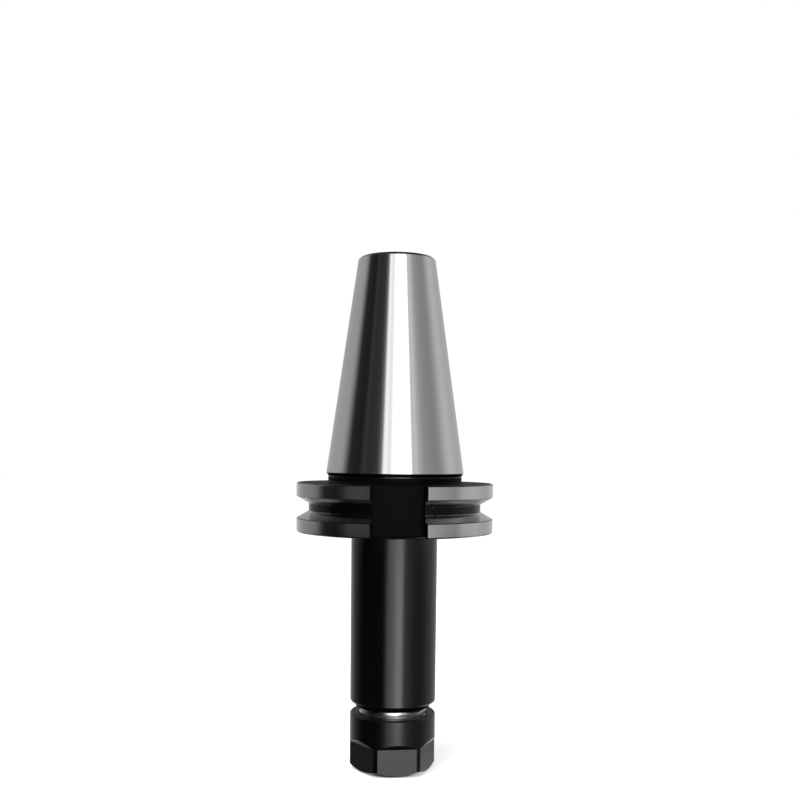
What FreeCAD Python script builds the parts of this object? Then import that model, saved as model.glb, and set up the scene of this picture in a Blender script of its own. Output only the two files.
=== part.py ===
import FreeCAD, Part
import os
import Sketcher

# Collet chuck holder: 7/24 taper, size 40, with a gripper flange and an ER16 collet chuck.
# Millimetres. The origin is on the axis at the gauge plane, +Z towards the taper's small end.
# The two drive slots face -Y and +Y. Heights called "up" are measured up from the nut's face.

doc = FreeCAD.newDocument("collet_chuck_holder")
V = FreeCAD.Vector

NEAR = 0.005
PARALLEL = 0.99

DIMENSIONS = {
    "cutters": {
        "overrun": 2,
    },
    "taper shank": {
        "gauge_dia": 44.45,
        "taper_length": 68.4,
        "taper_rise": 7,
        "taper_run": 24,
        "small_end_chamfer": 0.7,
        "stud_pilot_dia": 17,
        "stud_pilot_depth": 8.2,
        "stud_tap_dia": 14,
        "stud_hole_depth": 43,
        "stud_mouth_chamfer": 0.8,
    },
    "flange": {
        "flange_dia": 63.55,
        "flange_near": 3.2,
        "flange_far": 19.1,
        "rim_chamfer": 0.4,
        "vee_centre": 11.1,
        "vee_angle": 60,
        "vee_pin_dia": 7,
        "vee_over_pins": 72.3,
        "vee_root_dia": 55.6,
        "vee_edge_chamfer": 0.25,
        "neck_dia": 43.2,
        "neck_chamfer": 1,
        "neck_corner": 0.6,
        "slot_width": 16.1,
        "front_slot_floor": 22.8,
        "back_slot_floor": 25,
        "slot_corner_round": 0.5,
        "slot_edge_chamfer": 0.5,
        "slot_face_chamfer": 0.3,
    },
    "shank and nose": {
        "shank_dia": 28,
        "shank_round": 1.8,
        "shank_end_depth": 74.3,
        "shoulder_dia": 24,
        "shoulder_depth": 76.2,
        "nose_core_dia": 20.2,
        "nose_end_up": 7.4,
        "nose_chamfer": 0.6,
        "tool_room_dia": 10.4,
        "tool_room_depth": 62,
        "coolant_dia": 8,
        "drill_point": 118,
    },
    "collet chuck": {
        "nut_face_depth": 97.2,
        "socket_angle": 8,
        "socket_mouth_dia": 16,
    },
    "clamping nut": {
        "nut_height": 18.8,
        "nut_dia": 28,
        "nut_top_chamfer": 0.4,
        "nut_face_dia": 23.4,
        "nut_face_chamfer": 1.7,
        "across_flats": 25,
        "flat_count": 6,
        "flat_height": 9.2,
        "flat_slope_height": 1.8,
        "flat_turn": 35,
        "nut_bore_dia": 20.38,
        "nut_mouth_dia": 22.6,
        "nut_relief_dia": 22.4,
        "nut_relief_top": 7.6,
        "lip_low": 4.3,
        "lip_top": 5.6,
        "lip_dia": 16,
        "lip_offset": 0.6,
        "cavity_dia": 17.5,
        "cone_gap": 0.06,
    },
    "spring collet": {
        "collet_face_up": 0.3,
        "collet_length": 27.5,
        "collet_face_dia": 13.6,
        "collet_max_dia": 17,
        "face_angle": 30,
        "land_width": 0.66,
        "groove_dia": 14,
        "groove_top_up": 6,
        "gauge_up": 6.56,
        "tool_dia": 6,
        "grip_length": 18,
        "collet_relief_dia": 7.2,
        "collet_rear_chamfer": 0.4,
        "slit_width": 0.6,
        "slit_count": 8,
        "front_slit_end": 23.6,
        "rear_slit_end": 4.6,
    },
}


def make_sheet():
    """Puts every driving dimension in a cell with its name as the alias."""
    cells = doc.addObject("Spreadsheet::Sheet", "dims")
    row = 1
    for group, values in DIMENSIONS.items():
        cells.set(f"A{row}", group)
        row += 1
        for name, value in values.items():
            cells.set(f"A{row}", name)
            cells.set(f"B{row}", str(value))
            cells.setAlias(f"B{row}", name)
            row += 1
    doc.recompute()
    return cells


sheet = make_sheet()
NAMES = sorted((name for group in DIMENSIONS.values() for name in group), key=len, reverse=True)


def bound(text):
    """Turns an expression on dimension names into one on the sheet's cells."""
    words = []
    word = ""
    for letter in text + " ":
        if letter.isalnum() or letter == "_":
            word += letter
            continue
        words.append(f"dims.{word}" if word in NAMES else word)
        words.append(letter)
        word = ""
    return "".join(words).strip()


def size(text):
    """The value that such an expression has now."""
    value = sheet.evalExpression(bound(text))
    return float(getattr(value, "Value", value))


def new_body(name):
    body = doc.addObject("PartDesign::Body", name)
    body.Label = name
    return body


def sketch_on(body, name, role, turn=None):
    """A sketch on one of the body's own origin planes, turned about the sketch's own Y if asked."""
    sketch = body.newObject("Sketcher::SketchObject", name)
    plane = [item for item in body.Origin.OriginFeatures if item.Role == role][0]
    sketch.AttachmentSupport = [(plane, "")]
    sketch.MapMode = "FlatFace"
    if turn is not None:
        sketch.AttachmentOffset = FreeCAD.Placement(V(0, 0, 0), FreeCAD.Rotation(V(0, 1, 0), turn))
    return sketch


def pin_point(sketch, line, across, along):
    """Places a line's start point by two named constraints bound to the sheet."""
    for kind, text, axis in (("DistanceX", across, -2), ("DistanceY", along, -1)):
        if text == "0":
            sketch.addConstraint(Sketcher.Constraint("PointOnObject", line, 1, axis))
            continue
        index = sketch.addConstraint(Sketcher.Constraint(kind, -1, 1, line, 1, size(text)))
        label = f"{'across' if kind == 'DistanceX' else 'along'}{line}"
        sketch.renameConstraint(index, label)
        sketch.setExpression(f"Constraints.{label}", bound(text))


def draw_outline(sketch, corners):
    """A closed outline of straight lines whose corners are pairs of expressions."""
    places = [V(size(across), size(along), 0) for across, along in corners]
    count = len(corners)
    for index in range(count):
        sketch.addGeometry(Part.LineSegment(places[index], places[(index + 1) % count]))
    for index in range(count):
        sketch.addConstraint(Sketcher.Constraint("Coincident", index, 2, (index + 1) % count, 1))
    for index, (across, along) in enumerate(corners):
        pin_point(sketch, index, across, along)


def revolve(body, kind, name, corners):
    """A Revolution or Groove of a half-section about the body's Z axis."""
    sketch = sketch_on(body, name + "_section", "XZ_Plane")
    draw_outline(sketch, corners)
    turned = body.newObject(kind, name)
    turned.Profile = sketch
    turned.ReferenceAxis = (sketch, ["V_Axis"])
    turned.Angle = 360
    doc.recompute()
    return turned


def ring_edge(feature, ring):
    """Names of the circular edges that lie at a given radius and height."""
    radius, height = ring
    found = []
    for index, edge in enumerate(feature.Shape.Edges, 1):
        curve = edge.Curve
        if not isinstance(curve, Part.Circle):
            continue
        level = abs(curve.Center.z - height) < NEAR
        if level and abs(curve.Radius - radius) < NEAR:
            found.append(f"Edge{index}")
    return found


def dress(body, kind, name, base, edges, amount):
    """A Fillet or Chamfer of a size from the sheet on the named edges."""
    feature = body.newObject(kind, name)
    feature.Base = (base, edges)
    size_name = "Radius" if kind == "PartDesign::Fillet" else "Size"
    feature.setExpression(size_name, bound(amount))
    doc.recompute()
    return feature


def removed(before, after):
    """The volume that a cutting feature took away, which has to be more than nothing."""
    taken = before.Shape.Volume - after.Shape.Volume
    print(f"{after.Name} takes away {taken:.1f} mm3")
    if taken <= 0:
        raise RuntimeError(f"{after.Name} cuts nothing")


# ---------------------------------------------------------------------------------------------------
# Holder body: one turned and ground piece.

def turn_blank(body):
    """Taper, neck, flange disc, shank and nose as one revolved half-section.

    The shank's root is rounded in two short cones through the middle of its arc.
    """
    root_middle = "shank_round*(1 - cos(45deg))"
    slope = "taper_rise/taper_run/2"
    small_end = f"gauge_dia/2 - taper_length*{slope}"
    blank = revolve(body, "PartDesign::Revolution", "blank", [
        ("0", "taper_length"),
        (f"{small_end} - small_end_chamfer", "taper_length"),
        (f"{small_end} + small_end_chamfer*{slope}", "taper_length - small_end_chamfer"),
        ("gauge_dia/2", "0"),
        ("neck_dia/2", "-neck_chamfer"),
        ("neck_dia/2", "-flange_near + neck_corner"),
        ("neck_dia/2 + neck_corner", "-flange_near"),
        ("flange_dia/2 - rim_chamfer", "-flange_near"),
        ("flange_dia/2", "-flange_near - rim_chamfer"),
        ("flange_dia/2", "-flange_far + rim_chamfer"),
        ("flange_dia/2 - rim_chamfer", "-flange_far"),
        ("shank_dia/2 + shank_round", "-flange_far"),
        (f"shank_dia/2 + {root_middle}", f"-flange_far - {root_middle}"),
        ("shank_dia/2", "-flange_far - shank_round"),
        ("shank_dia/2", "-shank_end_depth"),
        ("shoulder_dia/2", "-shoulder_depth"),
        ("nose_core_dia/2", "-shoulder_depth"),
        ("nose_core_dia/2", "nose_end_up - nut_face_depth"),
        ("0", "nose_end_up - nut_face_depth"),
    ])
    nose_edge = (size("nose_core_dia/2"), size("nose_end_up - nut_face_depth"))
    return dress(body, "PartDesign::Chamfer", "nose_edge", blank,
                 ring_edge(blank, nose_edge), "nose_chamfer")


def cut_vee(body, blank):
    """Gripper groove: its flanks meet two pins at the standard distance over the pins."""
    apex = "(vee_over_pins - vee_pin_dia)/2 - vee_pin_dia/2/sin(vee_angle*0.5deg)"
    slope = "tan(vee_angle*0.5deg)"
    root = f"(vee_root_dia/2 - ({apex}))*{slope}"
    lip = "flange_dia/2 - vee_edge_chamfer"
    rim = f"({lip} - ({apex}))*{slope}"
    air = "flange_dia/2 + overrun"
    air_rim = f"{rim} + vee_edge_chamfer + overrun"
    vee = revolve(body, "PartDesign::Groove", "gripper_groove", [
        ("vee_root_dia/2", f"-vee_centre + {root}"),
        ("vee_root_dia/2", f"-vee_centre - {root}"),
        (lip, f"-vee_centre - {rim}"),
        (air, f"-vee_centre - ({air_rim})"),
        (air, f"-vee_centre + {air_rim}"),
        (lip, f"-vee_centre + {rim}"),
    ])
    removed(blank, vee)
    return vee


def slot_corners(shape, side, floor):
    """The slot's two upright inner corners."""
    found = []
    for index, edge in enumerate(shape.Edges, 1):
        if not isinstance(edge.Curve, Part.Line):
            continue
        middle = edge.CenterOfMass
        upright = abs(edge.tangentAt(edge.FirstParameter).z) > PARALLEL
        at_floor = abs(middle.y * side - size(floor)) < NEAR
        at_wall = abs(abs(middle.x) - size("slot_width/2")) < NEAR
        if upright and at_floor and at_wall:
            found.append(f"Edge{index}")
    return found


def slot_rims(shape, side, floor):
    """The edges where the slot's floor, corners and walls meet the flange's two faces."""
    found = []
    for index, edge in enumerate(shape.Edges, 1):
        middle = edge.CenterOfMass
        outwards = middle.y * side > size(floor) - size("slot_corner_round")
        if not outwards or abs(middle.x) > size("slot_width/2") + NEAR:
            continue
        for face in (size("-flange_near"), size("-flange_far")):
            box = edge.BoundBox
            if abs(box.ZMin - face) < NEAR and abs(box.ZMax - face) < NEAR:
                found.append(f"Edge{index}")
    return found


def cut_slot(body, base, name, side, floor):
    """Drive slot: milled right through the flange, its floor square to the key it takes."""
    sketch = sketch_on(body, name + "_plan", "XY_Plane")
    sign = "-" if side < 0 else ""
    wall = "slot_width/2"
    flare = f"sqrt((flange_dia/2)^2 - ({wall})^2) - slot_edge_chamfer"
    reach = "slot_edge_chamfer + 2*overrun"
    draw_outline(sketch, [
        (f"-{wall}", f"{sign}{floor}"),
        (wall, f"{sign}{floor}"),
        (wall, f"{sign}({flare})"),
        (f"{wall} + {reach}", f"{sign}({flare} + {reach})"),
        (f"-{wall} - ({reach})", f"{sign}({flare} + {reach})"),
        (f"-{wall}", f"{sign}({flare})"),
    ])
    slot = body.newObject("PartDesign::Pocket", name)
    slot.Profile = sketch
    slot.setExpression("Length", bound("flange_far + overrun"))
    doc.recompute()
    removed(base, slot)
    rounded = dress(body, "PartDesign::Fillet", name + "_corners", slot,
                    slot_corners(slot.Shape, side, floor), "slot_corner_round")
    return dress(body, "PartDesign::Chamfer", name + "_edges", rounded,
                 slot_rims(rounded.Shape, side, floor), "slot_face_chamfer")


def bore_through(body, base):
    """Stud pilot and tapping bore, coolant bore, room for the tool and the collet's 8 degree seat."""
    tap_floor = "taper_length - stud_hole_depth"
    point = "tan((90 - drill_point/2)*1deg)"
    nose_end = "nose_end_up - nut_face_depth"
    room_top = "tool_room_depth - nut_face_depth"
    seat_top = f"{nose_end} + (socket_mouth_dia - tool_room_dia)/2/tan(socket_angle*1deg)"
    bores = revolve(body, "PartDesign::Groove", "bores", [
        ("0", "taper_length + overrun"),
        ("stud_pilot_dia/2 + stud_mouth_chamfer + overrun", "taper_length + overrun"),
        ("stud_pilot_dia/2", "taper_length - stud_mouth_chamfer"),
        ("stud_pilot_dia/2", "taper_length - stud_pilot_depth"),
        ("stud_tap_dia/2", "taper_length - stud_pilot_depth"),
        ("stud_tap_dia/2", tap_floor),
        ("coolant_dia/2", f"{tap_floor} - (stud_tap_dia - coolant_dia)/2*{point}"),
        ("coolant_dia/2", f"{room_top} + (tool_room_dia - coolant_dia)/2*{point}"),
        ("tool_room_dia/2", room_top),
        ("tool_room_dia/2", seat_top),
        ("socket_mouth_dia/2", nose_end),
        ("socket_mouth_dia/2 + overrun*tan(socket_angle*1deg)", f"{nose_end} - overrun"),
        ("0", f"{nose_end} - overrun"),
    ])
    removed(base, bores)
    return bores


def make_holder_body():
    body = new_body("holder_body")
    blank = turn_blank(body)
    grooved = cut_vee(body, blank)
    front = cut_slot(body, grooved, "front_drive_slot", -1, "front_slot_floor")
    back = cut_slot(body, front, "back_drive_slot", 1, "back_slot_floor")
    bore_through(body, back)
    return body


# ---------------------------------------------------------------------------------------------------
# Clamping nut: one turned piece with a milled hexagon and an eccentric extraction lip.

def turn_nut(body):
    """The nut's stock with its thread bore, relief, cavity and 30 degree cone."""
    top = "nut_height - nut_face_depth"
    face = "-nut_face_depth"
    half_max = "collet_max_dia/2"
    cone_slope = "tan(face_angle*1deg)"
    mouth = f"collet_face_dia/2 - collet_face_up*{cone_slope} + cone_gap"
    cone_top = f"(cavity_dia/2 - ({mouth}))/{cone_slope}"
    stock = revolve(body, "PartDesign::Revolution", "stock", [
        (mouth, face),
        ("nut_face_dia/2", face),
        ("nut_dia/2", f"{face} + nut_face_chamfer"),
        ("nut_dia/2", f"{top} - nut_top_chamfer"),
        ("nut_dia/2 - nut_top_chamfer", top),
        ("nut_mouth_dia/2", top),
        ("nut_bore_dia/2", f"{top} - (nut_mouth_dia - nut_bore_dia)/2"),
        ("nut_bore_dia/2", f"{face} + nut_relief_top"),
        ("nut_relief_dia/2", f"{face} + nut_relief_top"),
        ("nut_relief_dia/2", f"{face} + lip_top"),
        ("lip_dia/2 - lip_offset", f"{face} + lip_top"),
        ("lip_dia/2 - lip_offset", f"{face} + lip_low"),
        ("cavity_dia/2", f"{face} + lip_low"),
        ("cavity_dia/2", f"{face} + {cone_top}"),
    ])
    return stock


def bore_lip(body, base):
    """Bores the extraction lip off centre, so that one side of it stands in the collet's groove."""
    sketch = sketch_on(body, "lip_circle", "XY_Plane")
    sketch.addGeometry(Part.Circle(V(size("lip_offset"), 0, 0), V(0, 0, 1), size("lip_dia/2")))
    sketch.addConstraint(Sketcher.Constraint("PointOnObject", 0, 3, -1))
    across = sketch.addConstraint(Sketcher.Constraint("DistanceX", -1, 1, 0, 3, size("lip_offset")))
    width = sketch.addConstraint(Sketcher.Constraint("Diameter", 0, size("lip_dia")))
    sketch.renameConstraint(across, "offset")
    sketch.renameConstraint(width, "bore")
    sketch.setExpression("Constraints.offset", bound("lip_offset"))
    sketch.setExpression("Constraints.bore", bound("lip_dia"))
    sketch.AttachmentOffset = FreeCAD.Placement(V(0, 0, size("lip_top - nut_face_depth")),
                                                FreeCAD.Rotation())
    sketch.setExpression("AttachmentOffset.Base.z", bound("lip_top - nut_face_depth"))
    lip = body.newObject("PartDesign::Pocket", "extraction_lip")
    lip.Profile = sketch
    lip.setExpression("Length", bound("lip_top - lip_low"))
    doc.recompute()
    removed(base, lip)
    return lip


def mill_hexagon(body, base):
    """One flat with its sloped end, then the whole hexagon round the axis."""
    face = "-nut_face_depth"
    outside = "nut_dia/2 + overrun"
    run_out = f"flat_slope_height*({outside} - across_flats/2)/(nut_dia/2 - across_flats/2)"
    sketch = sketch_on(body, "flat_section", "XZ_Plane", 0)
    sketch.setExpression("AttachmentOffset.Rotation.Angle", bound("flat_turn*1deg"))
    draw_outline(sketch, [
        ("across_flats/2", f"{face} - overrun"),
        (outside, f"{face} - overrun"),
        (outside, f"{face} + flat_height + {run_out}"),
        ("across_flats/2", f"{face} + flat_height"),
    ])
    flat = body.newObject("PartDesign::Pocket", "wrench_flat")
    flat.Profile = sketch
    flat.Midplane = True
    flat.setExpression("Length", bound("nut_dia"))
    doc.recompute()
    removed(base, flat)
    return repeat_round(body, "hexagon", flat, "flat_count")


def repeat_round(body, name, feature, count):
    """A feature repeated evenly round the body's Z axis."""
    pattern = body.newObject("PartDesign::PolarPattern", name)
    pattern.Originals = [feature]
    axis = [item for item in body.Origin.OriginFeatures if item.Role == "Z_Axis"][0]
    pattern.Axis = (axis, [""])
    pattern.Angle = 360
    pattern.setExpression("Occurrences", bound(count))
    body.Tip = pattern
    doc.recompute()
    removed(feature, pattern)
    return pattern


def make_clamping_nut():
    body = new_body("clamping_nut")
    stock = turn_nut(body)
    lip = bore_lip(body, stock)
    mill_hexagon(body, lip)
    return body


# ---------------------------------------------------------------------------------------------------
# Spring collet: a slotted sleeve, 8 degree cone behind, 30 degree cone in front, groove between.
# Its slits start from the two ends in turn, so that it closes evenly along its whole length.

def turn_collet(body):
    face = "collet_face_up - nut_face_depth"
    back = f"{face} + collet_length"
    cone_slope = "tan(face_angle*1deg)"
    land = f"{face} + (collet_max_dia - collet_face_dia)/2/{cone_slope}"
    seat = "tan(socket_angle*1deg)"
    top_groove = "groove_top_up - nut_face_depth"
    gauge = "gauge_up - nut_face_depth"
    back_radius = f"socket_mouth_dia/2 - ({back} - ({gauge}) - collet_rear_chamfer)*{seat}"
    return revolve(body, "PartDesign::Revolution", "sleeve", [
        ("tool_dia/2", face),
        ("collet_face_dia/2", face),
        ("collet_max_dia/2", land),
        ("collet_max_dia/2", f"{land} + land_width"),
        ("groove_dia/2", f"{land} + land_width"),
        ("groove_dia/2", top_groove),
        (f"socket_mouth_dia/2 + ({gauge} - ({top_groove}))*{seat}", top_groove),
        (back_radius, f"{back} - collet_rear_chamfer"),
        (f"{back_radius} - collet_rear_chamfer", back),
        ("collet_relief_dia/2", back),
        ("collet_relief_dia/2", f"{face} + grip_length"),
        ("tool_dia/2", f"{face} + grip_length"),
    ])


def saw_slits(body, base, name, start, end, turn):
    """One slit sawn through the wall between two heights over the collet's face, then repeated."""
    face = "collet_face_up - nut_face_depth"
    inside = "tool_dia/4"
    outside = "collet_max_dia/2 + overrun"
    sketch = sketch_on(body, name + "_section", "XZ_Plane", 0)
    sketch.setExpression("AttachmentOffset.Rotation.Angle", bound(turn))
    draw_outline(sketch, [
        (inside, f"{face} + {start}"),
        (outside, f"{face} + {start}"),
        (outside, f"{face} + {end}"),
        (inside, f"{face} + {end}"),
    ])
    slit = body.newObject("PartDesign::Pocket", name)
    slit.Profile = sketch
    slit.Midplane = True
    slit.setExpression("Length", bound("slit_width"))
    doc.recompute()
    removed(base, slit)
    return repeat_round(body, name + "s", slit, "slit_count")


def make_spring_collet():
    body = new_body("spring_collet")
    sleeve = turn_collet(body)
    behind = "(collet_length + overrun)"
    front = saw_slits(body, sleeve, "front_slit", "(-overrun)", "front_slit_end", "0*1deg")
    saw_slits(body, front, "rear_slit", "rear_slit_end", behind, "180deg/slit_count")
    return body


# ---------------------------------------------------------------------------------------------------

def check_document():
    """Stops if any object has failed, because a failed feature raises nothing by itself."""
    for item in doc.Objects:
        bad = [state for state in item.State if state in ("Invalid", "Error")]
        if bad:
            raise RuntimeError(f"{item.Name} is {bad}")


def write_parts(parts):
    for part in parts:
        shape = part.Shape
        if shape.isNull() or not shape.isValid() or len(shape.Solids) != 1:
            raise RuntimeError(f"{part.Label} is not one valid solid")
        print(f"{part.Label}: {shape.Volume / 1000:.2f} cm3, {len(shape.Faces)} faces")
    os.makedirs("parts", exist_ok=True)
    for part in parts:
        part.Shape.exportStep(f"parts/{part.Label}.step")


pieces = [make_holder_body(), make_clamping_nut(), make_spring_collet()]
doc.recompute()
check_document()
write_parts(pieces)
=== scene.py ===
import math
import bmesh
import bpy
from mathutils import Matrix, Vector


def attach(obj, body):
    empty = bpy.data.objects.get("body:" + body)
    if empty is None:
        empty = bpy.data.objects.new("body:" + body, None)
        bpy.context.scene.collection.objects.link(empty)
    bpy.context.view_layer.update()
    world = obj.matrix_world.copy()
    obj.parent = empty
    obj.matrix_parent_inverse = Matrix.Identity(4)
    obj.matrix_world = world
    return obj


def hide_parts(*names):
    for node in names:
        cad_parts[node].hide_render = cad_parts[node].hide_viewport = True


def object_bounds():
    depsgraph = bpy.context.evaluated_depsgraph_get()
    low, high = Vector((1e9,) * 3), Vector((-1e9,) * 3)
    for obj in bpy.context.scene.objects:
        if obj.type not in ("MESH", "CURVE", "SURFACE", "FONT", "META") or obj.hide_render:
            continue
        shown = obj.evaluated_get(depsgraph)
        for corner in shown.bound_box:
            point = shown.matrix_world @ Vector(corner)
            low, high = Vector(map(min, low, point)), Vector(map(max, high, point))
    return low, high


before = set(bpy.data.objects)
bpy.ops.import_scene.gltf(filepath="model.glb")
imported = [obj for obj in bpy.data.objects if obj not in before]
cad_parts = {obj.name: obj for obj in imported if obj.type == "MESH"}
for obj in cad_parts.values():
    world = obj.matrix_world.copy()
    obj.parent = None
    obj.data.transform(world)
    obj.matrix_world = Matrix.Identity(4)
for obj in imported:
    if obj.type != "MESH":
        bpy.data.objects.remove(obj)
cad_low, cad_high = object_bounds()


# ---- Camera --------------------------------------------------------------------------------------
# A normal lens a third of a metre away, just above the taper's gauge line and tipped down slightly,
# so that the top of the flange and the open side of a drive slot both show.

MM = 0.001
camera_distance = 332.1 * MM
camera_height = 6.5 * MM
camera_azimuth = math.radians(-2.5)
camera_pitch = math.radians(-4.08)
camera_roll = math.radians(0.59)

camera_data = bpy.data.cameras.new("camera")
camera_data.lens = 46.0
camera_data.sensor_width = 36.0
camera_data.shift_x = 0.007
camera_data.shift_y = 0.157
camera_data.clip_start = 0.01
camera = bpy.data.objects.new("camera", camera_data)
bpy.context.scene.collection.objects.link(camera)
bpy.context.scene.camera = camera
camera_place = Matrix.Rotation(camera_azimuth, 4, "Z") @ Matrix.Translation(
    (0, -camera_distance, camera_height)
)
upright = Matrix.Rotation(math.radians(90) + camera_pitch, 4, "X")
camera.matrix_world = camera_place @ upright @ Matrix.Rotation(camera_roll, 4, "Z")


# ---- Floor, room and lamps -----------------------------------------------------------------------
# A pale floor under the nut in a white room. Round the holder stands a closed drum of studio boards
# that only gloss can see: a softbox in front, black flags on its left, grey reflectors elsewhere,
# and a dim ceiling and a floor of boards that the undersides pick up. The middle of that floor of
# boards is kept dim, a painted shadow of the holder on the floor beneath it.

class Wire:
    """A socket in a node tree. Sums written on wires add the Math nodes that work them out."""

    def __init__(self, tree, socket=None):
        self.tree = tree
        self.socket = socket

    def node(self, kind, settings, values, output=0):
        """Adds a node, sets it up, then gives its sockets their values or wires."""
        made = self.tree.nodes.new(kind)
        for name, setting in settings.items():
            if name == "stops":
                fill_ramp(made.color_ramp, setting)
            else:
                setattr(made, name, setting)
        for name, value in values.items():
            if isinstance(value, Wire):
                self.tree.links.new(value.socket, made.inputs[name])
            else:
                made.inputs[name].default_value = value
        return Wire(self.tree, made.outputs[output] if made.outputs else None)

    def other(self, output):
        """Another output of the node that this wire comes from."""
        return Wire(self.tree, self.socket.node.outputs[output])

    def maths(self, operation, first, second=0.0):
        return self.node("ShaderNodeMath", {"operation": operation}, {0: first, 1: second})

    def __add__(self, number):
        return self.maths("ADD", self, number)

    def __sub__(self, number):
        return self.maths("SUBTRACT", self, number)

    def __rsub__(self, number):
        return self.maths("SUBTRACT", number, self)

    def __mul__(self, number):
        return self.maths("MULTIPLY", self, number)

    def __truediv__(self, number):
        return self.maths("DIVIDE", self, number)

    def __rtruediv__(self, number):
        return self.maths("DIVIDE", number, self)

    __radd__ = __add__
    __rmul__ = __mul__


def fill_ramp(ramp, stops):
    """Sets a colour ramp's stops, each a place and a grey level."""
    while len(ramp.elements) > 1:
        ramp.elements.remove(ramp.elements[-1])
    for index, (place, level) in enumerate(stops):
        stop = ramp.elements[0] if index == 0 else ramp.elements.new(place)
        stop.position = place
        stop.color = (level, level, level, 1)


def new_material(name):
    """An empty material, and the wire that its nodes start from."""
    material = bpy.data.materials.new(name)
    material.use_nodes = True
    material.node_tree.nodes.clear()
    return material, Wire(material.node_tree)


def new_piece(name, form, materials):
    """Makes a bmesh into an object at the origin."""
    mesh = bpy.data.meshes.new(name)
    form.to_mesh(mesh)
    form.free()
    for material in materials:
        mesh.materials.append(material)
    piece = bpy.data.objects.new(name, mesh)
    bpy.context.scene.collection.objects.link(piece)
    return piece


def seen_directly(wires):
    """1 for what the eye, gloss or glass sees, 0 for light that falls on a dull surface."""
    by_eye = wires.node("ShaderNodeLightPath", {}, {}, "Is Camera Ray")
    return by_eye + by_eye.other("Is Glossy Ray") + by_eye.other("Is Transmission Ray")


room_light = 0.75
world = bpy.data.worlds.new("white_room")
world.use_nodes = True
world.node_tree.nodes.clear()
bpy.context.scene.world = world
wires = Wire(world.node_tree)
room_strength = seen_directly(wires) * (1 - room_light) + room_light
room = wires.node("ShaderNodeBackground", {}, {"Color": (1, 1, 1, 1), "Strength": room_strength})
wires.node("ShaderNodeOutputWorld", {}, {"Surface": room})

floor_half, floor_grey, floor_light = 3.0, 0.8, 0.42
floor_form = bmesh.new()
bmesh.ops.create_grid(floor_form, x_segments=1, y_segments=1, size=floor_half)
bmesh.ops.translate(floor_form, verts=floor_form.verts, vec=(0, 0, cad_low.z))
floor_material, wires = new_material("pale_floor")
floor_colour = (floor_grey, floor_grey, floor_grey, 1)
floor_coat = wires.node("ShaderNodeBsdfDiffuse", {}, {"Color": floor_colour})
floor_glow = wires.node("ShaderNodeEmission", {}, {"Strength": seen_directly(wires) * floor_light})
floor_shader = wires.node("ShaderNodeAddShader", {}, {0: floor_coat, 1: floor_glow})
wires.node("ShaderNodeOutputMaterial", {}, {"Surface": floor_shader})
floor = new_piece("floor", floor_form, [floor_material])
floor.visible_glossy = False

drum_radius, drum_low, drum_high, drum_sides = 0.8, -0.8, 0.8, 96
drum_form = bmesh.new()
drum_seam = [
    drum_form.verts.new((0, radius, height))
    for radius, height in (
        (0, drum_low), (drum_radius, drum_low), (drum_radius, drum_high), (0, drum_high),
    )
]
for lower, upper in zip(drum_seam, drum_seam[1:]):
    drum_form.edges.new((lower, upper))
bmesh.ops.spin(
    drum_form, geom=drum_form.verts[:] + drum_form.edges[:], cent=(0, 0, 0), axis=(0, 0, 1),
    angle=math.tau, steps=drum_sides, use_merge=True,
)
drum_material, wires = new_material("studio_boards")
corner = wires.node("ShaderNodeTexCoord", {}, {}, "Object")
across = wires.node("ShaderNodeSeparateXYZ", {}, {"Vector": corner}, "X")
height = across.other("Z")
bearing = wires.maths("ARCTAN2", across, 0 - across.other("Y")) / math.tau + 0.5
reach = wires.maths("SQRT", across * across + across.other("Y") * across.other("Y"))
# The last of these is the dim level of the painted shadow in the middle of the drum's floor.
brightest, ceiling_light, painted_shadow_level = 4.0, 0.12, 0.05


def board_ring(boards):
    """A ring of boards round the drum, each a bearing in degrees and a level of light."""
    stops = [((angle + 180) / 360, level / brightest) for angle, level in boards]
    return wires.node("ShaderNodeValToRGB", {"stops": stops}, {"Fac": bearing})


def step_between(value, start, end):
    """0 before the start, 1 after the end, and a smooth step between them."""
    return wires.node(
        "ShaderNodeMapRange", {"interpolation_type": "SMOOTHSTEP"},
        {"Value": value, "From Min": start, "From Max": end},
    )


def blend_levels(factor, first, second):
    """Mixes two grey levels or wires by a factor."""
    return first * (1 - factor) + second * factor


upper_boards = board_ring([
    (-180, 0.5), (-150, 0.48), (-108, 0.46), (-100, 0.4), (-96, 0.31), (-90, 0.15), (-84, 0.028),
    (-62, 0.017), (-54, 0.055), (-48, 0.035), (-30, 0.045), (-22, 0.23), (-19.5, 1.5),
    (-13.5, 1.5), (-12, 1.0), (-10.5, 1.25), (-6, 1.25), (-3, 2.4), (27, 2.4), (28.5, 0.6),
    (31, 0.6), (34, 0.87), (41, 0.6), (49, 0.43), (60, 0.36), (75, 0.33), (83, 0.39), (98, 0.62),
    (108, 0.68), (131, 0.55), (158, 0.55), (180, 0.5),
])
middle_boards = board_ring([
    (-180, 0.6), (-156, 0.6), (-140, 0.42), (-129, 0.35), (-102, 0.26), (-96, 0.16), (-91, 0.066),
    (-86, 0.022), (-68, 0.017), (-60, 0.035), (-53, 0.075), (-38, 0.075), (-22, 0.05), (-17, 0.1),
    (-14, 1.5), (0, 2.4), (26, 2.4), (29, 0.6), (40, 0.48), (55, 0.42), (72, 0.345), (84, 0.58),
    (104, 0.6), (117, 0.53), (130, 0.48), (147, 0.59), (180, 0.6),
])
lower_boards = board_ring([
    (-180, 0.5), (-156, 0.6), (-136, 0.45), (-123, 0.26), (-112, 0.17), (-103, 0.085),
    (-95, 0.015), (-88, 0.0), (-27, 0.0), (-21, 0.3), (-15, 1.3), (-10, 1.5), (-5, 1.8), (0, 2.1),
    (5, 2.8), (10, 3.9), (21, 3.9), (25, 2.2), (28, 0.72), (37, 0.6), (48, 0.33), (60, 0.21),
    (79, 0.18), (94, 0.29), (102, 0.4), (134, 0.49), (180, 0.5),
])
lower_seam, upper_seam = (-0.12, -0.07), (-0.02, 0.08)
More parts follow.
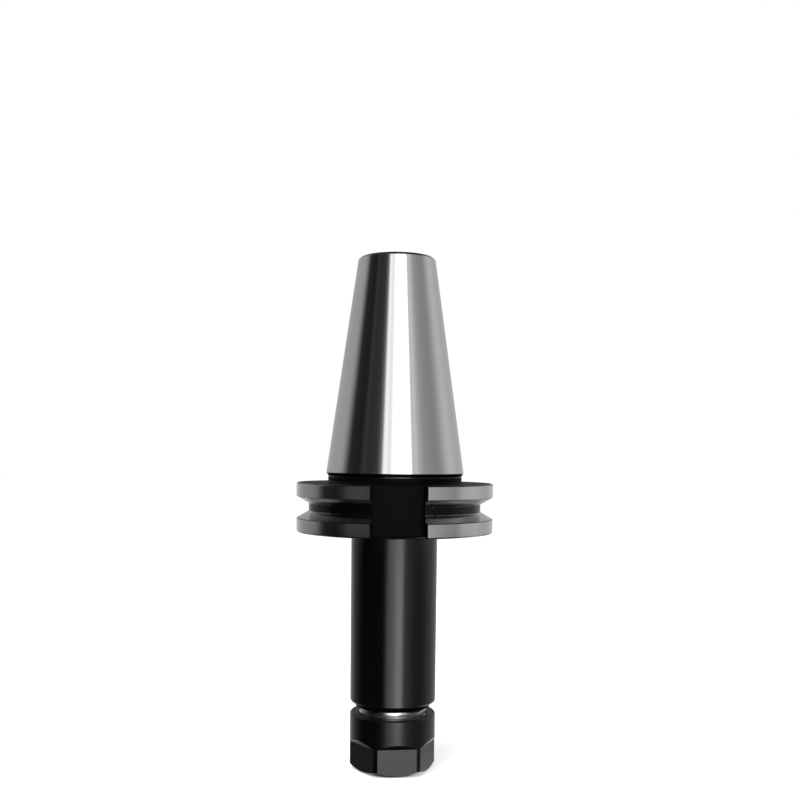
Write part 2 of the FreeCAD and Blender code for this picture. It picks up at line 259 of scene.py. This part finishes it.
wall_level = blend_levels(
    step_between(height, *upper_seam),
    blend_levels(step_between(height, *lower_seam), lower_boards, middle_boards),
    upper_boards,
)
floor_boards = board_ring([
    (-180, 1.2), (-140, 1.0), (-118, 0.35), (-100, 0.07), (-80, 0.0), (0, 0.0), (60, 0.25),
    (90, 0.5), (120, 1.4), (148, 2.2), (180, 1.2),
])
# The drum's floor glows only beyond 0.6 m from the axis. Inside that it stays at a dim level, a
# painted shadow of the holder on the floor under it, which the nut's underside and chamfers
# reflect.
painted_shadow_reach, wall_foot, ceiling_seam = (0.6, 0.8), (-0.55, -0.3), (0.78, 0.79)
boards_and_painted_shadow = step_between(reach, *painted_shadow_reach) * floor_boards + painted_shadow_level / brightest
near_floor = blend_levels(step_between(height, *wall_foot), boards_and_painted_shadow, wall_level)
board_level = blend_levels(
    step_between(height, *ceiling_seam), near_floor, ceiling_light / brightest,
)
board_glow = wires.node("ShaderNodeEmission", {}, {"Color": board_level, "Strength": brightest})
wires.node("ShaderNodeOutputMaterial", {}, {"Surface": board_glow})
drum = new_piece("studio_boards", drum_form, [drum_material])
drum.rotation_euler.z = camera_azimuth
drum.visible_camera = False
drum.visible_diffuse = False
drum.visible_shadow = False
drum.visible_transmission = False

lamp_data = bpy.data.lights.new("overhead_softbox", "AREA")
lamp_data.size = 0.7
lamp_data.energy = 9.0
lamp = bpy.data.objects.new("overhead_softbox", lamp_data)
lamp.location = (-0.25, -0.3, 0.75)
towards_origin = Vector((0, 0, 0)) - lamp.location
lamp.rotation_euler = towards_origin.to_track_quat("-Z", "Y").to_euler()
lamp.visible_glossy = False
bpy.context.scene.collection.objects.link(lamp)


# ---- Holder body ---------------------------------------------------------------------------------
# Case-hardened steel turned in one piece and blackened, then ground bright on the taper, the
# flange's two rims and the flanks of the gripper groove. Two drive slots are milled through it.

ring_stretch, cloud_scale, gloss_swing = 25, 70, 0.16


def turned_finish(name, colour, metallic, roughness, line_pitch, line_depth, specular=0.5):
    """A surface with the fine rings of turning or grinding, which shift its gloss and normal."""
    material, wires = new_material(name)
    place = wires.node("ShaderNodeTexCoord", {}, {}, "Object")
    across = wires.node("ShaderNodeSeparateXYZ", {}, {"Vector": place}, "X")
    stretched = wires.node("ShaderNodeCombineXYZ", {}, {
        "X": across * ring_stretch,
        "Y": across.other("Y") * ring_stretch,
        "Z": across.other("Z") / (line_pitch * MM),
    })
    rings = wires.node("ShaderNodeTexNoise", {}, {"Vector": stretched, "Scale": 1, "Detail": 2})
    clouds = wires.node(
        "ShaderNodeTexNoise", {}, {"Vector": place, "Scale": cloud_scale, "Detail": 3},
    )
    gloss = (rings + clouds) * (roughness * gloss_swing) + roughness * (1 - gloss_swing)
    bump = wires.node("ShaderNodeBump", {}, {"Height": rings, "Distance": line_depth * MM})
    shader = wires.node("ShaderNodeBsdfPrincipled", {}, {
        "Base Color": colour, "Metallic": metallic, "Roughness": gloss,
        "Specular IOR Level": specular, "Normal": bump,
    })
    wires.node("ShaderNodeOutputMaterial", {}, {"Surface": shader})
    return material


ground_steel = turned_finish("ground_steel", (0.62, 0.62, 0.625, 1), 1, 0.12, 0.5, 0.0004)
flank_steel = turned_finish("flank_steel", (0.45, 0.45, 0.455, 1), 1, 0.15, 0.3, 0.0006)
black_oxide = turned_finish("black_oxide", (0.0018, 0.0018, 0.002, 1), 0, 0.17, 0.4, 0.0006)
groove_oxide = turned_finish(
    "groove_oxide", (0.0015, 0.0015, 0.0016, 1), 0, 0.2, 0.4, 0.0006, 0.18,
)
milled_oxide = turned_finish(
    "milled_oxide", (0.0015, 0.0015, 0.0016, 1), 0, 0.5, 0.6, 0.001, 0.04,
)
holder_finishes = [black_oxide, ground_steel, flank_steel, milled_oxide, groove_oxide]
BLACK, GROUND, FLANK, MILLED, GROOVE = range(len(holder_finishes))


merge_gap, edge_gap, skin = 0.001, 0.01, 0.05


def turn_round(form, outline, steps=240):
    """Spins a closed outline of radii and heights, in millimetres, once round the axis."""
    points = [form.verts.new((radius * MM, 0, height * MM)) for radius, height in outline]
    for first, second in zip(points, points[1:] + points[:1]):
        form.edges.new((first, second))
    bmesh.ops.spin(
        form, geom=form.verts[:] + form.edges[:], cent=(0, 0, 0), axis=(0, 0, 1),
        angle=math.tau, steps=steps, use_merge=True,
    )
    bmesh.ops.remove_doubles(form, verts=form.verts, dist=merge_gap * MM)
    bmesh.ops.recalc_face_normals(form, faces=form.faces)


def soften_rings(form, rings, segments=3):
    """Rounds turned edges, each given by its radius, height and width in millimetres."""
    near = edge_gap * MM
    for radius, height, width in rings:
        edges = [
            edge for edge in form.edges
            if all(
                abs(vert.co.xy.length - radius * MM) < near
                and abs(vert.co.z - height * MM) < near
                for vert in edge.verts
            )
        ]
        bmesh.ops.bevel(
            form, geom=edges, offset=width * MM, offset_type="OFFSET", affect="EDGES",
            segments=segments, profile=0.5, material=-1,
        )


taper_top = cad_high.z / MM
taper_slope = 7 / 24 / 2
gauge_radius = 44.45 / 2
small_end = gauge_radius - taper_top * taper_slope
end_chamfer = 0.7
flange_radius = 63.55 / 2
flange_near, flange_far = -3.2, -19.1
rim_chamfer = 0.4
vee_middle, vee_root, vee_edge = -11.1, 27.8, 0.25
vee_half_angle = math.radians(30)
vee_slope = math.tan(vee_half_angle)
pin_radius, over_pins = 3.5, 72.3
vee_apex = over_pins / 2 - pin_radius - pin_radius / math.sin(vee_half_angle)
root_half = (vee_root - vee_apex) * vee_slope
lip_half = (flange_radius - vee_edge - vee_apex) * vee_slope
neck_radius, neck_step, milled_start, neck_corner = 21.6, 1.0, 1.3, 0.6
shank_radius, shank_end, shank_round = 14.0, -74.3, 1.8
shoulder_radius, shoulder_end = 12.0, -76.2
nose_radius, nose_end, nose_chamfer = 10.1, -89.8, 0.6
socket_radius, socket_top = 8.0, -69.88
tool_room_radius, tool_room_top = 5.2, -35.2
coolant_radius, coolant_low, coolant_high = 4.0, -34.48, 23.6
stud_tap_radius, stud_tap_low = 7.0, 25.4
stud_pilot_radius, stud_pilot_low = 8.5, 60.2
stud_mouth_radius, stud_mouth_low = 9.3, 67.6

holder_form = bmesh.new()
turn_round(holder_form, [
    (stud_mouth_radius, taper_top),
    (small_end - end_chamfer, taper_top),
    (small_end + end_chamfer * taper_slope, taper_top - end_chamfer),
    (gauge_radius, 0),
    (neck_radius, -neck_step),
    (neck_radius, -milled_start),
    (neck_radius, flange_near + neck_corner),
    (neck_radius + neck_corner, flange_near),
    (flange_radius - rim_chamfer, flange_near),
    (flange_radius, flange_near - rim_chamfer),
    (flange_radius, vee_middle + lip_half + vee_edge),
    (flange_radius - vee_edge, vee_middle + lip_half),
    (vee_root, vee_middle + root_half),
    (vee_root, vee_middle - root_half),
    (flange_radius - vee_edge, vee_middle - lip_half),
    (flange_radius, vee_middle - lip_half - vee_edge),
    (flange_radius, flange_far + rim_chamfer),
    (flange_radius - rim_chamfer, flange_far),
    (shank_radius, flange_far),
    (shank_radius, shank_end),
    (shoulder_radius, shoulder_end),
    (nose_radius, shoulder_end),
    (nose_radius, nose_end + nose_chamfer),
    (nose_radius - nose_chamfer, nose_end),
    (socket_radius, nose_end),
    (tool_room_radius, socket_top),
    (tool_room_radius, tool_room_top),
    (coolant_radius, coolant_low),
    (coolant_radius, coolant_high),
    (stud_tap_radius, stud_tap_low),
    (stud_tap_radius, stud_pilot_low),
    (stud_pilot_radius, stud_pilot_low),
    (stud_pilot_radius, stud_mouth_low),
])
for face in holder_form.faces:
    middle = face.calc_center_median() / MM
    out = middle.xy.length
    on_taper = 0 < middle.z < taper_top - end_chamfer and out > small_end
    on_rim = out > flange_radius - skin
    in_vee = abs(middle.z - vee_middle) < lip_half
    on_flank = in_vee and vee_root + 2 * skin < out < flange_radius - vee_edge
    on_nose = middle.z < shoulder_end and out > nose_radius - nose_chamfer
    if on_taper or on_rim:
        face.material_index = GROUND
    elif on_flank or on_nose:
        face.material_index = FLANK
    elif in_vee:
        face.material_index = GROOVE
    elif flange_near - skin < middle.z < -milled_start:
        face.material_index = MILLED
fine_edge, plain_edge, end_edge, shank_edge = 0.1, 0.15, 0.2, 0.3
soften_rings(holder_form, [
    (small_end + end_chamfer * taper_slope, taper_top - end_chamfer, end_edge),
    (small_end - end_chamfer, taper_top, end_edge),
    (gauge_radius, 0, fine_edge),
    (neck_radius, -neck_step, plain_edge),
    (flange_radius, flange_near - rim_chamfer, fine_edge),
    (flange_radius - rim_chamfer, flange_near, fine_edge),
    (flange_radius, flange_far + rim_chamfer, fine_edge),
    (flange_radius - rim_chamfer, flange_far, fine_edge),
    (vee_root, vee_middle + root_half, plain_edge),
    (vee_root, vee_middle - root_half, plain_edge),
    (shank_radius, shank_end, shank_edge),
    (shoulder_radius, shoulder_end, plain_edge),
])
soften_rings(holder_form, [(shank_radius, flange_far, shank_round)], segments=8)
holder = new_piece("holder_body_finish", holder_form, holder_finishes)


def mill(piece, cutters):
    """Cuts the cutters' shapes out of a piece, and puts the cutters away."""
    for cutter in cutters:
        cut = piece.modifiers.new("cut", "BOOLEAN")
        cut.operation = "DIFFERENCE"
        cut.solver = "EXACT"
        cut.object = cutter
    milled = piece.evaluated_get(bpy.context.evaluated_depsgraph_get())
    mesh = bpy.data.meshes.new_from_object(milled)
    piece.modifiers.clear()
    piece.data = mesh
    for cutter in cutters:
        bpy.data.objects.remove(cutter)


def shade_machined(piece, sharp_angle=math.radians(24)):
    """Smooth shading that follows the turned faces and breaks at the machined edges."""
    piece.data.shade_smooth()
    piece.data.set_sharp_from_angle(angle=sharp_angle)
    evened = piece.modifiers.new("even_shading", "WEIGHTED_NORMAL")
    evened.mode = "FACE_AREA"
    evened.keep_sharp = True


slot_half, slot_corner, slot_mouth_chamfer, slot_face_chamfer = 8.05, 0.5, 0.8, 0.3
front_slot_floor, back_slot_floor = 22.8, 25.0
overrun, slot_rise = 2.0, 0.6
slot_bottom, slot_top = flange_far - overrun, flange_near + slot_rise
slot_cutters = []
for side, slot_floor in ((-1, front_slot_floor), (1, back_slot_floor)):
    mouth = math.sqrt(flange_radius**2 - slot_half**2) - slot_mouth_chamfer
    reach = slot_mouth_chamfer + 2 * overrun
    slot_form = bmesh.new()
    plan = [
        slot_form.verts.new((across * MM, side * out * MM, slot_bottom * MM))
        for across, out in (
            (-slot_half, slot_floor), (slot_half, slot_floor), (slot_half, mouth),
            (slot_half + reach, mouth + reach), (-slot_half - reach, mouth + reach),
            (-slot_half, mouth),
        )
    ]
    slot_form.faces.new(plan)
    bmesh.ops.bevel(
        slot_form, geom=plan[:2], offset=slot_corner * MM, affect="VERTICES",
        segments=4, profile=0.5, material=-1,
    )
    grown = bmesh.ops.extrude_face_region(slot_form, geom=slot_form.faces[:])
    raised = [item for item in grown["geom"] if isinstance(item, bmesh.types.BMVert)]
    bmesh.ops.translate(slot_form, verts=raised, vec=(0, 0, (slot_top - slot_bottom) * MM))
    for height in (flange_far + slot_face_chamfer, flange_near - slot_face_chamfer):
        bmesh.ops.bisect_plane(
            slot_form, geom=slot_form.verts[:] + slot_form.edges[:] + slot_form.faces[:],
            dist=merge_gap * MM, plane_co=(0, 0, height * MM), plane_no=(0, 0, 1),
        )
    for height, spread in (
        (slot_bottom, flange_far + slot_face_chamfer - slot_bottom),
        (slot_top, slot_top - flange_near + slot_face_chamfer),
    ):
        end = [
            vert for vert in slot_form.verts if abs(vert.co.z - height * MM) < merge_gap * MM
        ]
        bmesh.ops.scale(
            slot_form, verts=end,
            vec=(1 + spread / slot_half, 1 + spread / (mouth + reach - slot_floor), 1),
            space=Matrix.Translation((0, -side * (mouth + reach) * MM, 0)),
        )
    bmesh.ops.recalc_face_normals(slot_form, faces=slot_form.faces)
    for face in slot_form.faces:
        face.material_index = MILLED
    slot_cutters.append(new_piece("slot_cutter", slot_form, holder_finishes))
mill(holder, slot_cutters)
shade_machined(holder)
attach(holder, "holder")
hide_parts("holder_body")


# ---- Nose thread ---------------------------------------------------------------------------------
# The right-hand thread, 22 mm by 1.5 mm pitch, that the clamping nut runs on. It is left bright,
# and its crests fade out against the shoulder and in the nose's lead-in chamfer.

thread_pitch = 1.5
thread_crest, thread_root = 10.95, 10.3
thread_half_angle = math.radians(30)
thread_steps = 60


def wind_thread(form, ridge, low, turns):
    """Winds a closed ridge section, of radii and heights in mm, up a right-hand helix."""
    points = [
        form.verts.new((radius * MM, 0, (low + height) * MM)) for radius, height in ridge
    ]
    for first, second in zip(points, points[1:] + points[:1]):
        form.edges.new((first, second))
    bmesh.ops.spin(
        form, geom=form.verts[:] + form.edges[:], cent=(0, 0, 0), axis=(0, 0, 1),
        dvec=(0, 0, thread_pitch / thread_steps * MM), angle=math.tau * turns,
        steps=round(thread_steps * turns),
    )
    bmesh.ops.holes_fill(form, edges=form.edges, sides=len(ridge))
    bmesh.ops.recalc_face_normals(form, faces=form.faces)


def hold_radius(form, limit):
    """Turns a thread down, or up, wherever it passes a radius that depends on the height."""
    for vert in form.verts:
        held = limit(vert.co.xy.length / MM, vert.co.z / MM) * MM
        vert.co.xy = vert.co.xy.normalized() * held


run_out_slope = 6


def nose_limit(radius, height):
    """Thins the thread in the nose's lead-in and where it runs out against the shoulder."""
    lead_in = nose_radius - nose_chamfer + (height - nose_end)
    run_out = nose_radius + (shoulder_end - height) * run_out_slope
    return min(radius, max(min(lead_in, run_out), thread_root))


crest_half, thread_drop, nose_turns = 0.36, 0.08, 10
thread_start = nose_end - thread_drop
flank = (thread_crest - thread_root) * math.tan(thread_half_angle)
thread_form = bmesh.new()
wind_thread(thread_form, [
    (thread_root, -crest_half - flank),
    (thread_crest, -crest_half),
    (thread_crest, crest_half),
    (thread_root, crest_half + flank),
], thread_start, nose_turns)
hold_radius(thread_form, nose_limit)
bright_thread = turned_finish("bright_thread", (0.75, 0.75, 0.75, 1), 1, 0.25, 0.3, 0.0002)
thread = new_piece("nose_thread", thread_form, [bright_thread])
shade_machined(thread)
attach(thread, "holder")


# ---- Clamping nut --------------------------------------------------------------------------------
# A blackened steel nut with a hexagon milled on its lower half for the spanner. Inside it has the
# thread, a relief, the off-centre lip that draws the collet out, and the cone that presses on it.

nut_height, mouth_depth = 18.8, 1
nut_face = cad_low.z / MM
nut_top = nut_face + nut_height
nut_radius, nut_rim, nut_face_radius, nut_face_chamfer = 14.0, 0.4, 11.7, 1.7
scallop_top = 11.05
nut_mouth, nut_bore, nut_root = 11.3, 10.19, 11.12
relief_radius, relief_top = 11.2, 7.6
lip_low, lip_top, lip_radius, lip_offset = 4.3, 5.6, 8.0, 0.6
cavity_radius, cone_mouth, cone_top = 8.75, 6.687, 3.573

nut_form = bmesh.new()
turn_round(nut_form, [
    (cone_mouth, nut_face),
    (nut_face_radius, nut_face),
    (nut_radius, nut_face + nut_face_chamfer),
    (nut_radius, nut_face + scallop_top),
    (nut_radius, nut_top - nut_rim),
    (nut_radius - nut_rim, nut_top),
    (nut_mouth, nut_top),
    (nut_root, nut_top - nut_mouth + nut_root),
    (nut_root, nut_face + relief_top),
    (relief_radius, nut_face + relief_top),
    (relief_radius, nut_face + lip_top),
    (lip_radius, nut_face + lip_top),
    (lip_radius, nut_face + lip_low),
    (cavity_radius, nut_face + lip_low),
    (cavity_radius, nut_face + cone_top),
])
lip = [
    vert for vert in nut_form.verts if abs(vert.co.xy.length / MM - lip_radius) < edge_gap
]
bmesh.ops.translate(nut_form, verts=lip, vec=(lip_offset * MM, 0, 0))
soften_rings(nut_form, [
    (nut_radius, nut_top - nut_rim, plain_edge),
    (nut_radius - nut_rim, nut_top, plain_edge),
    (nut_face_radius, nut_face, plain_edge),
    (cone_mouth, nut_face, fine_edge),
])
nut_oxide = turned_finish("nut_oxide", (0.0014, 0.0014, 0.0015, 1), 0, 0.26, 0.35, 0.0002, 0.42)
flat_oxide = turned_finish("flat_oxide", (0.002, 0.002, 0.0022, 1), 0, 0.26, 0.5, 0.0003, 0.42)
face_oxide = turned_finish("face_oxide", (0.0014, 0.0014, 0.0015, 1), 0, 0.4, 0.5, 0.0004, 0.2)
nut_finishes = [nut_oxide, flat_oxide, face_oxide]
TURNED, FLAT, FACED = range(len(nut_finishes))
for face in nut_form.faces:
    middle = face.calc_center_median() / MM
    in_mouth = middle.z > nut_top - mouth_depth and middle.xy.length < nut_mouth
    if middle.z > nut_top - skin or in_mouth:
        face.material_index = FACED
nut = new_piece("clamping_nut_finish", nut_form, nut_finishes)

flat_count, flat_half, flat_height, flat_slope, corner_relief = 6, 12.5, 9.2, 1.8, 0.01
flat_turn = math.radians(35)
outside = nut_radius + overrun
run_out = flat_slope * (outside - flat_half) / (nut_radius - flat_half)
corner_half = flat_half * math.tan(math.pi / flat_count) - corner_relief
hexagon_form = bmesh.new()
section = [
    hexagon_form.verts.new((out * MM, -corner_half * MM, height * MM))
    for out, height in (
        (flat_half, nut_face - overrun),
        (outside, nut_face - overrun),
        (outside, nut_face + flat_height + run_out),
        (flat_half, nut_face + flat_height),
    )
]
face = hexagon_form.faces.new(section)
grown = bmesh.ops.extrude_face_region(hexagon_form, geom=[face])
moved = [item for item in grown["geom"] if isinstance(item, bmesh.types.BMVert)]
bmesh.ops.translate(hexagon_form, verts=moved, vec=(0, 2 * corner_half * MM, 0))
bmesh.ops.rotate(
    hexagon_form, verts=hexagon_form.verts, cent=(0, 0, 0),
    matrix=Matrix.Rotation(flat_turn, 3, "Z"),
)
bmesh.ops.spin(
    hexagon_form, geom=hexagon_form.verts[:] + hexagon_form.edges[:] + hexagon_form.faces[:],
    cent=(0, 0, 0), axis=(0, 0, 1), angle=math.tau * (flat_count - 1) / flat_count,
    steps=flat_count - 1, use_duplicate=True,
)
bmesh.ops.recalc_face_normals(hexagon_form, faces=hexagon_form.faces)
for face in hexagon_form.faces:
    face.material_index = FLAT
mill(nut, [new_piece("hexagon_cutter", hexagon_form, nut_finishes)])
shade_machined(nut)
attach(nut, "nut")
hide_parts("clamping_nut")


def nut_limit(radius, height):
    """Thins the thread in the lead-in of the nut's mouth."""
    lead_in = nut_mouth - (nut_top - height)
    return max(radius, lead_in)


ridge_sunk, ridge_cut, ridge_half, nut_turns = 0.1, 0.21, 0.5, 6.9
ridge_foot, ridge_tip = nut_root + ridge_sunk, nut_bore + ridge_cut
wall_flank = (ridge_foot - ridge_tip) * math.tan(thread_half_angle)
inner_form = bmesh.new()
wind_thread(inner_form, [
    (ridge_foot, ridge_half),
    (ridge_foot, -ridge_half),
    (ridge_tip, -ridge_half + wall_flank),
    (ridge_tip, ridge_half - wall_flank),
], thread_start + thread_pitch / 2, nut_turns)
hold_radius(inner_form, nut_limit)
nut_thread = new_piece("nut_thread", inner_form, [nut_oxide])
shade_machined(nut_thread)
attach(nut_thread, "nut")


# ---- Spring collet -------------------------------------------------------------------------------
# A hardened and ground sleeve, sawn from both ends in turn so that it closes evenly on the tool. It
# sits in the nose's cone and shows only its slotted face inside the nut.

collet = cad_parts["spring_collet"]
collet_steel = turned_finish("collet_steel", (0.6, 0.6, 0.605, 1), 1, 0.16, 0.4, 0.0004)
for slot in collet.material_slots:
    slot.material = collet_steel


# ---- Colour view ---------------------------------------------------------------------------------

bpy.context.scene.view_settings.view_transform = "Standard"
